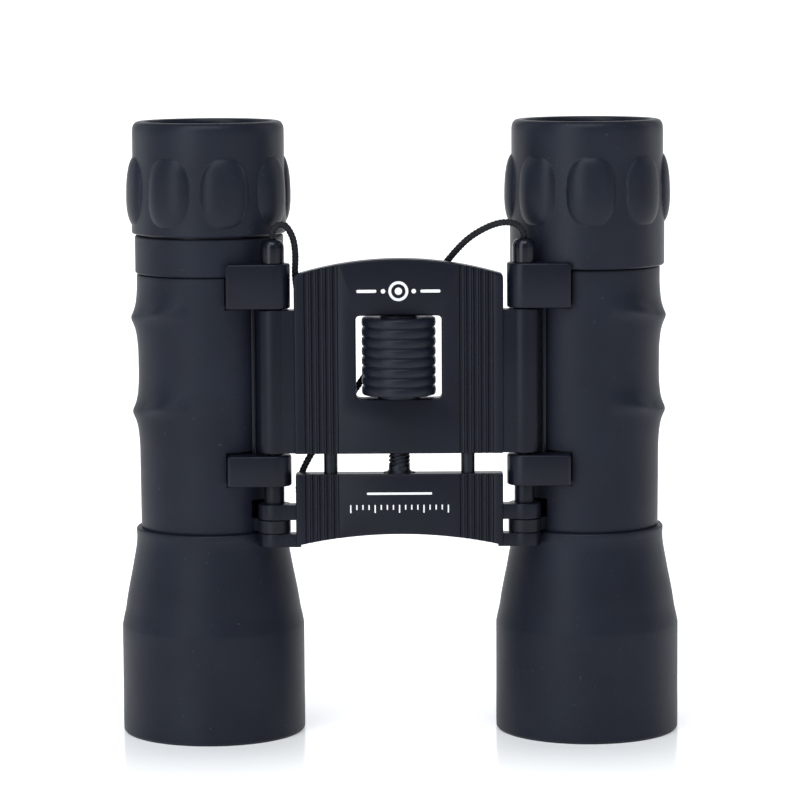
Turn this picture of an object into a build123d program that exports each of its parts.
from build123d import *
import math
import os

# Compact double-hinge binoculars, standing on the objective hoods, eyepieces up.
# Millimetres, +Z up. The origin is on the floor, under the middle of the body's box.
# The bridge's front face looks along -Y. "Left" is the -X side, "right" the +X side.

# ---- driving dimensions ----
BARREL_X = 37.7            # barrel axis, from the middle plane
BARREL_Y = 1.8
HINGE_X = 24.7             # hinge pin axis
HINGE_Y = -11.5
WHEEL_Y = -12.1            # axis of focus wheel and screw

FLOOR = 0.0
TOP = 122.8                # rim of the eyecups

# bridge and focus plate
PLATE_FRONT = -14.7
PLATE_THICK = 4.0
PLATE_BACK = PLATE_FRONT + PLATE_THICK
PLATE_HALF = 20.5
BRIDGE_LOW = 58.0
BRIDGE_TOP_END = 93.2
BRIDGE_TOP_MID = 96.3
CORNER_R = 0.5
WINDOW_HALF = 8.4
WINDOW_LOW = 68.9
WINDOW_HIGH = 85.2
GROOVES = 5
GROOVE_FIRST = 12.4        # x of the innermost groove
GROOVE_PITCH = 1.4
GROOVE_WIDE = 0.9
GROOVE_DEEP = 0.45
HINGE_TUBE_R = 3.2
HINGE_TUBE_TOP = 86.4
WEB_FRONT = PLATE_FRONT + 0.5
WEB_BACK = PLATE_BACK - 0.2
BOSS_R = 3.4

FOCUS_TOP = 54.0
FOCUS_LOW_END = 39.7
FOCUS_LOW_MID = 42.0
FOCUS_HALF = 20.4
EAR_R = 3.2
UPPER_EAR = (44.8, 47.9)
LOWER_EAR = (39.4, 42.1)
NECK_R = 2.0               # neck on the upper ear, which slides up into the lower lug
NECK_TOP = 51.9
NECK_BORE = 2.12
TRAVEL = 3.4               # focus travel, up from rest

# pins and screw
PIN_R = 1.25
PIN_BORE = 1.30            # running bore on a hinge pin
PIN_Z = (39.5, 98.0)
CAP_R = 2.35
CAP_Z = (95.4, 100.2)
CAP_FLAT_R = 0.95
GUIDE_X = 13.5
GUIDE_Y = -12.5
GUIDE_R = 1.34
GUIDE_BORE = 1.4
GUIDE_Z = (44.0, 70.0)
SCREW_R = 2.1
SCREW_BORE = 2.18
SCREW_Z = (45.0, 86.5)
COLLAR_R = 2.65
COLLAR_HIGH = 1.4

# focus wheel
WHEEL_R = 7.3
WHEEL_Z = (69.5, 84.8)
WHEEL_RIBS = 8
RIB_DEEP = 0.45
HUB_R = 5.2
NUT_R = 3.6
NUT_TOP = 85.1              # the nut stands a little above the wheel
NUT_BORE = 2.15
WASHER_R = 4.2

# barrel
TUBE_IN = 12.2
TUBE_OUT = 13.3
TUBE_Z = (36.0, 104.0)
ARMOUR_R = 14.4
ARMOUR_LOW = 41.5
ARMOUR_TOP = {-1: 92.5, 1: 93.7}
RIDGE_R = 15.4
RIDGE_Z = (64.9, 83.7)
RIDGE_HALF_HIGH = 5.0
RIDGE_ARC = 130.0
LUG_R = 3.45
LUG_END = 9.0              # arm length from the hinge axis
UPPER_LUG = (86.6, 95.4)
LOWER_LUG = (51.5, 57.6)
SPINE_X = (28.4, 29.0)     # thin wall that joins the two lugs, beside the hinge tube
SPINE_Y = (-10.9, -8.0)
SLOT_Z = (41.5, 50.0)
SLOT_HALF = 2.5

# objective hood
HOOD_R = 18.35
HOOD_WALL = 1.15
SEAT_R = 17.4              # step in the mouth, where a push-in cap sits
SEAT_DEEP = 8.0
HOOD_STRAIGHT = 21.7
HOOD_LIP_R = 15.25

# lens carrier
CELL_R = 16.9
CELL_Z = (11.0, 18.0)
LENS_R = 16.0
LENS_Z = (12.2, 16.8)      # the lens's cylindrical edge
LENS_BULGE = 0.9
CELL_STOP_R = 14.9
CELL_STOP_Z = 17.0
SLEEVE_R = 11.9
SLEEVE_WALL = 0.9
SLEEVE_Z = (31.5, 47.0)
ARM_Z = (42.25, 44.65)
ARM_HALF = 1.9

# prisms
PRISM_Z = (54.0, 79.0)
PRISM_HALF = 6.6

# eyepieces
CUP_LOW_R = 15.4
CUP_TOP_R = 15.1
CUP_WAIST_Z = 116.6
CUP_LOW = {-1: 100.6, 1: 93.9}
CUP_RECESS_R = 12.6
CUP_FLOOR = (112.4, 114.0)
CUP_HOLE_R = 9.5
BUMPS = 8
BUMP_PEAK = 16.55
BUMP_Z = 109.15
BUMP_RADIAL = 7.0          # greatest radius of the lemon
BUMP_HIGH = 12.9           # half its height
BUMP_TURN = {-1: 15.2, 1: 0.0}
OCULAR_R = 11.9
OCULAR_BORE = 9.5
OCULAR_Z = (84.0, 110.0)
FIELD_LENS_Z = (87.6, 89.6)
FIELD_BULGE = 0.6
EYE_LENS_Z = (104.6, 108.0)
EYE_BULGE = 1.0
RETAINING_WIDE = 0.9       # width of the retaining rings and the spacer
OCULAR_HEAD_R = 13.9
OCULAR_HEAD_Z = 106.2
BAND_R = 14.8
BAND_Z = (92.7, 100.1)
RING_BORE = 13.6
RING_BORE_WIDE = 14.25
SHOULDER_Z = 103.7
RETAINER_R = 13.9
RETAINER_Z = (104.0, 105.2)

# cord: one short braided loop, from the right strap cap to the left one
CORD_R = 0.7
CORD_ROUTE = [
    (24.7, -11.5, 100.2),      # out of the right cap
    (24.4, -11.5, 102.5),
    (20.4, -11.7, 103.6),      # arch
    (14.6, -10.6, 100.9),
    (10.4, -9.1, 96.6),        # over the bridge's top edge
    (4.6, -4.6, 88.4),
    (-1.6, -2.9, 79.7),        # behind the wheel
    (-7.6, -5.6, 71.3),
    (-13.0, -8.6, 63.6),
    (-18.4, -9.6, 56.2),
    (-20.4, -9.65, 50.5),      # slack loop behind the focus plate
    (-18.6, -9.65, 44.8),
    (-13.2, -9.65, 43.9),
    (-10.4, -9.65, 48.4),
    (-13.8, -9.7, 55.0),       # up behind the left guide pin
    (-12.8, -9.75, 61.5),
    (-9.9, -9.75, 67.8),       # crosses between plate and first strand
    (-11.8, -9.7, 76.2),
    (-17.4, -9.65, 83.6),
    (-20.5, -9.7, 90.6),       # up behind the bridge's left edge
    (-20.0, -10.3, 98.7),
    (-21.6, -11.3, 102.7),     # tight turn over the cap
    (-23.3, -11.45, 103.1),
    (-24.6, -11.5, 101.9),
    (-24.7, -11.5, 100.2),     # into the left cap
]

SIDES = {-1: "left", 1: "right"}
LOW = (Align.CENTER, Align.CENTER, Align.MIN)


# ---- shared shapes ----

def disc(radius, low, high):
    """Solid cylinder on the Z axis."""
    return Pos(0, 0, low) * Cylinder(radius, high - low, align=LOW)


def ring(outer, inner, low, high):
    """Hollow cylinder on the Z axis."""
    return disc(outer, low, high) - disc(inner, low - 1, high + 1)


def block(x0, x1, y0, y1, z0, z1):
    """Box between two corners."""
    middle = Pos((x0 + x1) / 2, (y0 + y1) / 2, (z0 + z1) / 2)
    return middle * Box(x1 - x0, y1 - y0, z1 - z0)


def turned(points, arc=360.0):
    """Solid of revolution about Z from (radius, z) points."""
    outline = Polyline(*[(radius, 0, z) for radius, z in points], close=True)
    return revolve(make_face(outline), Axis.Z, revolution_arc=arc)


def slab(outline, front, back):
    """Flat piece between two Y planes from a closed (x, z) outline of edges."""
    face = make_face(outline)
    return Pos(0, front, 0) * extrude(face, back - front, dir=(0, 1, 0))


def lens(radius, low, high, bulge):
    """Biconvex lens: two spherical caps on a cylindrical edge between low and high."""
    sphere = (radius ** 2 + bulge ** 2) / (2 * bulge)
    half_angle = math.asin(radius / sphere) / 2
    mid_r = sphere * math.sin(half_angle)
    mid_rise = bulge - sphere * (1 - math.cos(half_angle))
    top = ThreePointArc((radius, 0, high), (mid_r, 0, high + mid_rise), (0, 0, high + bulge))
    middle = Line((0, 0, high + bulge), (0, 0, low - bulge))
    bottom = ThreePointArc((0, 0, low - bulge), (mid_r, 0, low - mid_rise), (radius, 0, low))
    edge = Line((radius, 0, low), (radius, 0, high))
    return revolve(make_face([top, middle, bottom, edge]), Axis.Z)


def at_barrel(part, side):
    return Pos(side * BARREL_X, BARREL_Y, 0) * part


def at_hinge(part, side):
    return Pos(side * HINGE_X, HINGE_Y, 0) * part


def toward_hinge(side):
    """Angle, in degrees, of the direction from a barrel's axis to its hinge."""
    return math.degrees(math.atan2(HINGE_Y - BARREL_Y, side * (HINGE_X - BARREL_X)))


def save(part, name):
    """Write a node, as one solid or as a compound of separate solids."""
    solids = part.solids()
    body = solids[0] if len(solids) == 1 else Compound(children=list(solids))
    export_step(body, f"parts/{name}.step")
    print(f"{name:24s} {len(solids)} solid(s) {sum(s.volume for s in solids):10.1f} mm3")


# ---- bridge ----

def grooves(low, high):
    """Vertical decorative grooves, both sides of a plate's front face."""
    cuts = []
    for side in SIDES:
        for step in range(GROOVES):
            middle = side * (GROOVE_FIRST + step * GROOVE_PITCH)
            x0, x1 = middle - GROOVE_WIDE / 2, middle + GROOVE_WIDE / 2
            cuts.append(block(x0, x1, PLATE_FRONT - 1, PLATE_FRONT + GROOVE_DEEP, low, high))
    return cuts


def bridge_outline():
    """Plate outline: straight foot and sides, arched top, rounded shoulders."""
    foot_left, foot_right = (-PLATE_HALF, 0, BRIDGE_LOW), (PLATE_HALF, 0, BRIDGE_LOW)
    shoulder = PLATE_HALF - CORNER_R
    side_top = BRIDGE_TOP_END - CORNER_R
    bend = CORNER_R * (1 - math.sqrt(0.5))
    left = ThreePointArc((-PLATE_HALF, 0, side_top), (-PLATE_HALF + bend, 0, BRIDGE_TOP_END - bend),
                         (-shoulder, 0, BRIDGE_TOP_END))
    right = ThreePointArc((shoulder, 0, BRIDGE_TOP_END), (PLATE_HALF - bend, 0, BRIDGE_TOP_END - bend),
                          (PLATE_HALF, 0, side_top))
    crown = ThreePointArc((-shoulder, 0, BRIDGE_TOP_END), (0, 0, BRIDGE_TOP_MID), (shoulder, 0, BRIDGE_TOP_END))
    return [Line(foot_left, (-PLATE_HALF, 0, side_top)), left, crown, right,
            Line((PLATE_HALF, 0, side_top), foot_right), Line(foot_right, foot_left)]


def make_bridge():
    plate = slab(bridge_outline(), PLATE_FRONT, PLATE_BACK)
    boss = Pos(0, WHEEL_Y, 0) * disc(BOSS_R, BRIDGE_LOW, BRIDGE_TOP_END - 1)
    behind = block(-BOSS_R, BOSS_R, PLATE_FRONT + 1, 0, BRIDGE_LOW, BRIDGE_TOP_END)
    plate += boss & behind
    plate -= block(-WINDOW_HALF, WINDOW_HALF, PLATE_FRONT - 1, 0, WINDOW_LOW, WINDOW_HIGH)
    for side in SIDES:
        inner, outer = sorted((side * (PLATE_HALF - 1), side * HINGE_X))
        plate += block(inner, outer, WEB_FRONT, WEB_BACK, BRIDGE_LOW, HINGE_TUBE_TOP)
        plate += at_hinge(disc(HINGE_TUBE_R, BRIDGE_LOW, HINGE_TUBE_TOP), side)
        plate -= at_hinge(disc(PIN_R, BRIDGE_LOW - 1, HINGE_TUBE_TOP + 1), side)
        plate -= Pos(side * GUIDE_X, GUIDE_Y, 0) * disc(GUIDE_BORE, BRIDGE_LOW - 1, GUIDE_Z[1] + TRAVEL + 1)
    plate -= Pos(0, WHEEL_Y, 0) * disc(SCREW_BORE, BRIDGE_LOW - 1, SCREW_Z[1] + TRAVEL + 0.6)
    for cut in grooves(BRIDGE_LOW - 1, BRIDGE_TOP_MID + 1):
        plate -= cut
    return plate


def make_hinge_pin(side):
    return at_hinge(disc(PIN_R, *PIN_Z), side)


def make_strap_cap(side):
    low, high = CAP_Z
    shell = turned([(0, low), (CAP_R, low), (CAP_R, high - 1.5), (CAP_R - 0.4, high - 0.6),
                    (CAP_FLAT_R, high), (0, high)])
    return at_hinge(shell - disc(PIN_R, low - 1, PIN_Z[1]), side)


def make_washer():
    return Pos(0, WHEEL_Y, 0) * ring(WASHER_R, SCREW_R + 0.15, WINDOW_LOW, WHEEL_Z[0] - 0.1)


# ---- cord ----

def cord_radii(route):
    """Arc radius at each inner point, from the shorter run beside it and the turn there."""
    radii = []
    for before, here, after in zip(route, route[1:], route[2:]):
        arriving = Vector(*here) - Vector(*before)
        leaving = Vector(*after) - Vector(*here)
        half_turn = math.radians(arriving.get_angle(leaving)) / 2
        radii.append(0.45 * min(arriving.length, leaving.length) / math.tan(half_turn))
    return radii


def make_cord():
    radii = cord_radii(CORD_ROUTE)
    path = FilletPolyline(*CORD_ROUTE, radius=radii)
    mouth = Plane(origin=CORD_ROUTE[0], z_dir=Vector(*CORD_ROUTE[1]) - Vector(*CORD_ROUTE[0]))
    tube = sweep(mouth * Circle(CORD_R), path=path)
    expected = math.pi * CORD_R ** 2 * path.length
    print("cord radii", [round(radius, 1) for radius in radii])
    print(f"cord length {path.length:.1f} mm, volume {tube.volume:.1f} of {expected:.1f} mm3")
    return tube


# ---- focus wheel ----

def make_wheel_tyre():
    """Ribbed rubber tyre: each rib is a rounded ring, with a narrow gap between ribs."""
    low, high = WHEEL_Z
    pitch = (high - low) / WHEEL_RIBS
    points = [(HUB_R, low)]
    for rib in range(WHEEL_RIBS):
        foot = low + rib * pitch
        points.append((WHEEL_R - RIB_DEEP, foot))
        points.append((WHEEL_R - 0.12, foot + 0.25 * pitch))
        points.append((WHEEL_R, foot + 0.5 * pitch))
        points.append((WHEEL_R - 0.12, foot + 0.75 * pitch))
    points += [(WHEEL_R - RIB_DEEP, high), (HUB_R, high)]
    return Pos(0, WHEEL_Y, 0) * turned(points)


def make_wheel_hub():
    return Pos(0, WHEEL_Y, 0) * ring(HUB_R, NUT_R, *WHEEL_Z)


def make_focus_nut():
    return Pos(0, WHEEL_Y, 0) * ring(NUT_R, NUT_BORE, WHEEL_Z[0], NUT_TOP)


# ---- focus slide ----

def focus_outline():
    """Plate outline: straight top and sides, arched lower edge."""
    top_left, top_right = (-FOCUS_HALF, 0, FOCUS_TOP), (FOCUS_HALF, 0, FOCUS_TOP)
    low_left, low_right = (-FOCUS_HALF, 0, FOCUS_LOW_END), (FOCUS_HALF, 0, FOCUS_LOW_END)
    arch = ThreePointArc(low_left, (0, 0, FOCUS_LOW_MID), low_right)
    return [Line(low_left, top_left), Line(top_left, top_right), Line(top_right, low_right), arch]


def make_focus_plate():
    plate = slab(focus_outline(), PLATE_FRONT, PLATE_BACK)
    plate += (Pos(0, WHEEL_Y, 0) * disc(BOSS_R, FOCUS_LOW_MID + 1, FOCUS_TOP)) & block(
        -BOSS_R, BOSS_R, PLATE_FRONT + 1, 0, FOCUS_LOW_MID, FOCUS_TOP)
    for side in SIDES:
        inner, outer = sorted((side * (FOCUS_HALF - 1), side * HINGE_X))
        for low, high in (UPPER_EAR, LOWER_EAR):
            plate += block(inner, outer, WEB_FRONT, WEB_BACK, low, high)
            plate += at_hinge(disc(EAR_R, low, high), side)
        plate += at_hinge(disc(NECK_R, UPPER_EAR[1], NECK_TOP), side)
        plate -= at_hinge(disc(PIN_BORE, FOCUS_LOW_END - 1, FOCUS_TOP), side)
        plate -= Pos(side * GUIDE_X, GUIDE_Y, 0) * disc(GUIDE_R, GUIDE_Z[0], FOCUS_TOP + 1)
    plate -= Pos(0, WHEEL_Y, 0) * disc(SCREW_R, SCREW_Z[0], FOCUS_TOP + 1)
    for cut in grooves(FOCUS_LOW_END - 1, FOCUS_TOP + 1):
        plate -= cut
    return plate


def make_focus_screw():
    return Pos(0, WHEEL_Y, 0) * disc(SCREW_R, *SCREW_Z)


def make_screw_collar():
    # stays under the bridge at the top of the travel
    return Pos(0, WHEEL_Y, 0) * ring(COLLAR_R, SCREW_R, FOCUS_TOP, FOCUS_TOP + 0.6)


def make_guide_pin(side):
    return Pos(side * GUIDE_X, GUIDE_Y, 0) * disc(GUIDE_R, *GUIDE_Z)


# ---- barrel ----

def lug_solid(side, low, high):
    """Hinge lug: an eye round the pin, and an arm along the barrel's front side."""
    eye_x, eye_y = side * HINGE_X, HINGE_Y
    end = side * (HINGE_X + LUG_END)
    x0, x1 = sorted((eye_x, end))
    lug = at_hinge(disc(LUG_R, low, high), side)
    lug += block(x0, x1, eye_y - LUG_R, eye_y, low, high)
    fill = [(side * 28.0, eye_y - 0.1), (end, eye_y - 0.1), (end, eye_y + 2.0), (side * 28.0, eye_y + 3.0)]
    outline = Polyline(*[(x, y, low) for x, y in fill], close=True)
    lug += extrude(make_face(outline), high - low, dir=(0, 0, 1))
    return lug


def both_lugs(side):
    """Both hinge lugs and the thin wall between them."""
    x0, x1 = sorted((side * SPINE_X[0], side * SPINE_X[1]))
    spine = block(x0, x1, *SPINE_Y, LOWER_LUG[1] - 1, UPPER_LUG[0] + 1)
    return lug_solid(side, *UPPER_LUG) + lug_solid(side, *LOWER_LUG) + spine


def arm_slot(side):
    """Slot in the barrel's wall that the lens carrier's arm travels in."""
    cut = block(TUBE_IN - 3, ARMOUR_R + 2, -SLOT_HALF, SLOT_HALF, *SLOT_Z)
    return at_barrel(Rot(0, 0, toward_hinge(side)) * cut, side)


def make_housing(side):
    tube = at_barrel(disc(TUBE_OUT, *TUBE_Z), side) + both_lugs(side)
    tube -= at_barrel(disc(TUBE_IN, TUBE_Z[0] - 1, TUBE_Z[1] + 1), side)
    tube -= at_hinge(disc(PIN_BORE, LOWER_LUG[0] - 1, UPPER_LUG[1] + 1), side)
    tube -= at_hinge(disc(NECK_BORE, LOWER_LUG[0] - 1, NECK_TOP + TRAVEL + 0.3), side)
    return tube - arm_slot(side)


def finger_ridge(side, middle):
    """Part-ring bump on the outer side of the armour, between two finger hollows."""
    half = RIDGE_HALF_HIGH
    profile = [(TUBE_OUT, middle - half), (ARMOUR_R - 0.1, middle - half), (ARMOUR_R + 0.5, middle - 1.8),
               (RIDGE_R, middle - 0.5), (RIDGE_R, middle + 0.5), (ARMOUR_R + 0.5, middle + 1.8),
               (ARMOUR_R - 0.1, middle + half), (TUBE_OUT, middle + half)]
    start = -RIDGE_ARC / 2 if side > 0 else 180 - RIDGE_ARC / 2
    return Rot(0, 0, start) * turned(profile, RIDGE_ARC)


def make_armour(side):
    sleeve = disc(ARMOUR_R, ARMOUR_LOW, ARMOUR_TOP[side])
    for middle in RIDGE_Z:
        sleeve += finger_ridge(side, middle)
    sleeve -= disc(TUBE_OUT, ARMOUR_LOW - 1, ARMOUR_TOP[side] + 1)
    return at_barrel(sleeve, side) - both_lugs(side) - arm_slot(side)


def make_hood(side):
    """Flared shell: straight mouth with a cap seat, curved shoulder, neck on the tube."""
    outer = [(HOOD_R - 0.3, FLOOR), (HOOD_R, 0.4), (HOOD_R, HOOD_STRAIGHT), (17.65, 25.2), (16.75, 30.1),
             (15.8, 35.0), (HOOD_LIP_R, 37.5), (HOOD_LIP_R, ARMOUR_LOW)]
    inner = [(TUBE_OUT, ARMOUR_LOW), (TUBE_OUT, TUBE_Z[0]), (14.45, 34.6), (15.4, 29.9), (16.4, 24.9),
             (HOOD_R - HOOD_WALL, HOOD_STRAIGHT + 0.3), (HOOD_R - HOOD_WALL, SEAT_DEEP), (SEAT_R, SEAT_DEEP),
             (SEAT_R, FLOOR)]
    return at_barrel(turned(outer + inner), side)


def make_prism_holder(side):
    low, high = PRISM_Z
    cage = disc(TUBE_IN, low, high)
    cage -= block(-PRISM_HALF - 0.8, PRISM_HALF + 0.8, -PRISM_HALF - 0.2, PRISM_HALF + 0.2, low + 2, high - 2)
    cage -= disc(PRISM_HALF, low - 1, high + 1)
    return at_barrel(cage, side)


def prism_block(points):
    """Glass block: an (x, z) outline as deep as the light path is wide."""
    outline = Polyline(*[(x, 0, z) for x, z in points], close=True)
    half = PRISM_HALF
    return Pos(0, -half, 0) * extrude(make_face(outline), 2 * half, dir=(0, 1, 0))


def make_half_penta(side):
    low = PRISM_Z[0] + 2.1
    half = PRISM_HALF
    points = [(-half, low), (half, low), (half, low + 1.6), (-half, low + 1.6 + 2 * half)]
    return at_barrel(prism_block(points), side)


def make_roof_prism(side):
    """Roof block: its 45 degree face lies a thin air gap above the half penta block."""
    low = PRISM_Z[0] + 2.1 + 1.6 + 0.4
    high = PRISM_Z[1] - 2.1
    half = PRISM_HALF
    points = [(half, low), (half, high), (-half, high), (-half, low + 2 * half)]
    glass = prism_block(points)
    for way in (-1, 1):
        bevel = Pos(half, way * half, 0) * Rot(0, 0, 45) * block(-2, 2, -2, 2, low - 1, high + 1)
        glass -= bevel
    return at_barrel(glass, side)


# ---- eyepieces ----

def cup_bumps(side):
    """Eight oval grip bumps, each the outer cap of a lemon-shaped body."""
    curve = ThreePointArc((0, 0, -BUMP_HIGH), (BUMP_RADIAL, 0, 0), (0, 0, BUMP_HIGH))
    bump = revolve(make_face([curve, Line((0, 0, BUMP_HIGH), (0, 0, -BUMP_HIGH))]), Axis.Z)
    bumps = []
    for step in range(BUMPS):
        angle = -90 + BUMP_TURN[side] + step * 360 / BUMPS
        bumps.append(Rot(0, 0, angle) * Pos(BUMP_PEAK - BUMP_RADIAL, 0, BUMP_Z) * bump)
    return bumps


def cup_outside(side):
    low = CUP_LOW[side]
    cup = turned([(0, low), (CUP_LOW_R, low), (CUP_LOW_R, 102.0), (CUP_TOP_R, CUP_WAIST_Z),
                  (CUP_TOP_R, TOP - 0.5), (CUP_TOP_R - 0.5, TOP), (0, TOP)])
    for bump in cup_bumps(side):
        cup += bump
    return cup


def make_eyecup(side):
    """Rubber cup: the right one is fixed on the tube, the left one turns round it."""
    cup = cup_outside(side)
    cup -= disc(CUP_RECESS_R, CUP_FLOOR[1], TOP + 1)
    cup -= disc(CUP_HOLE_R, CUP_FLOOR[0] - 1, CUP_FLOOR[1] + 1)
    if side > 0:
        cup -= disc(TUBE_OUT, CUP_LOW[side] - 1, TUBE_Z[1])
        cup -= disc(OCULAR_HEAD_R, TUBE_Z[1], CUP_FLOOR[0])
        return at_barrel(cup, side) - both_lugs(side)
    cup -= disc(RING_BORE, BAND_Z[0], SHOULDER_Z)
    cup -= disc(RING_BORE_WIDE, SHOULDER_Z, CUP_FLOOR[0])
    return at_barrel(cup, side)


def make_ocular_cell(side):
    """Tube that holds the eyepiece's two lenses, with a wide head above the housing."""
    radius = TUBE_IN if side > 0 else OCULAR_R
    low, high = OCULAR_Z
    cell = disc(radius, low, OCULAR_HEAD_Z) + disc(OCULAR_HEAD_R, OCULAR_HEAD_Z, high)
    cell -= disc(OCULAR_BORE, low + 3, high + 1)
    cell -= disc(OCULAR_BORE - 1.2, low - 1, high)
    return at_barrel(cell, side)


def make_field_lens(side):
    return at_barrel(lens(OCULAR_BORE, *FIELD_LENS_Z, FIELD_BULGE), side)


def make_eye_lens(side):
    return at_barrel(lens(OCULAR_BORE, *EYE_LENS_Z, EYE_BULGE), side)


def make_eyepiece_spacer(side):
    """Tube that keeps the two eyepiece lenses apart."""
    low, high = FIELD_LENS_Z[1] + 0.15, EYE_LENS_Z[0] - 0.25
    return at_barrel(ring(OCULAR_BORE, OCULAR_BORE - RETAINING_WIDE, low, high), side)


def make_eye_ring(side):
    low, high = EYE_LENS_Z[1] + 0.25, OCULAR_Z[1] - 0.4
    return at_barrel(ring(OCULAR_BORE, OCULAR_BORE - RETAINING_WIDE, low, high), side)


def make_dioptre_collar():
    return at_barrel(ring(BAND_R, TUBE_OUT, *BAND_Z), -1) - both_lugs(-1)


def make_dioptre_retainer():
    return at_barrel(ring(RETAINER_R, TUBE_IN, *RETAINER_Z), -1)


# ---- lens carrier ----

def make_lens_carrier(side):
    """Lens cell, cone and sleeve in one, with an arm out to a ring on the hinge pin."""
    low, high = CELL_Z
    outer = [(CELL_R, low), (CELL_R, high), (SLEEVE_R, SLEEVE_Z[0]), (SLEEVE_R, SLEEVE_Z[1])]
    inner = [(SLEEVE_R - SLEEVE_WALL, SLEEVE_Z[1]), (SLEEVE_R - SLEEVE_WALL, SLEEVE_Z[0]),
             (CELL_STOP_R, high - 0.2), (CELL_STOP_R, CELL_STOP_Z), (LENS_R, CELL_STOP_Z), (LENS_R, low)]
    carrier = at_barrel(turned(outer + inner), side)
    reach = math.hypot(BARREL_X - HINGE_X, BARREL_Y - HINGE_Y)
    arm = block(SLEEVE_R - 0.6, reach - PIN_BORE - 0.4, -ARM_HALF, ARM_HALF, *ARM_Z)
    carrier += at_barrel(Rot(0, 0, toward_hinge(side)) * arm, side)
    carrier += at_hinge(disc(EAR_R, *ARM_Z), side)
    return carrier - at_hinge(disc(PIN_BORE, ARM_Z[0] - 1, ARM_Z[1] + 1), side)


def make_objective_lens(side):
    return at_barrel(lens(LENS_R, *LENS_Z, LENS_BULGE), side)


def make_objective_ring(side):
    return at_barrel(ring(LENS_R, LENS_R - RETAINING_WIDE, CELL_Z[0], LENS_Z[0] - 0.2), side)


# ---- write every node ----

ONCE = {
    "upper_bridge": make_bridge,
    "wheel_washer": make_washer,
    "cord": make_cord,
    "focus_wheel": make_wheel_tyre,
    "focus_wheel_hub": make_wheel_hub,
    "focus_nut": make_focus_nut,
    "focus_plate": make_focus_plate,
    "focus_screw": make_focus_screw,
    "screw_collar": make_screw_collar,
    "dioptre_collar_left": make_dioptre_collar,
    "dioptre_retainer_left": make_dioptre_retainer,
}

EACH_SIDE = {
    "hinge_pin": make_hinge_pin,
    "strap_cap": make_strap_cap,
    "guide_pin": make_guide_pin,
    "barrel_housing": make_housing,
    "barrel_armour": make_armour,
    "objective_hood": make_hood,
    "prism_holder": make_prism_holder,
    "half_penta_prism": make_half_penta,
    "roof_prism": make_roof_prism,
    "eyecup": make_eyecup,
    "ocular_cell": make_ocular_cell,
    "field_lens": make_field_lens,
    "eye_lens": make_eye_lens,
    "eyepiece_spacer": make_eyepiece_spacer,
    "eye_lens_ring": make_eye_ring,
    "lens_carrier": make_lens_carrier,
    "objective_lens": make_objective_lens,
    "objective_ring": make_objective_ring,
}


def main():
    os.makedirs("parts", exist_ok=True)
    for name, make in ONCE.items():
        save(make(), name)
    for name, make in EACH_SIDE.items():
        for side, word in SIDES.items():
            save(make(side), f"{name}_{word}")


main()
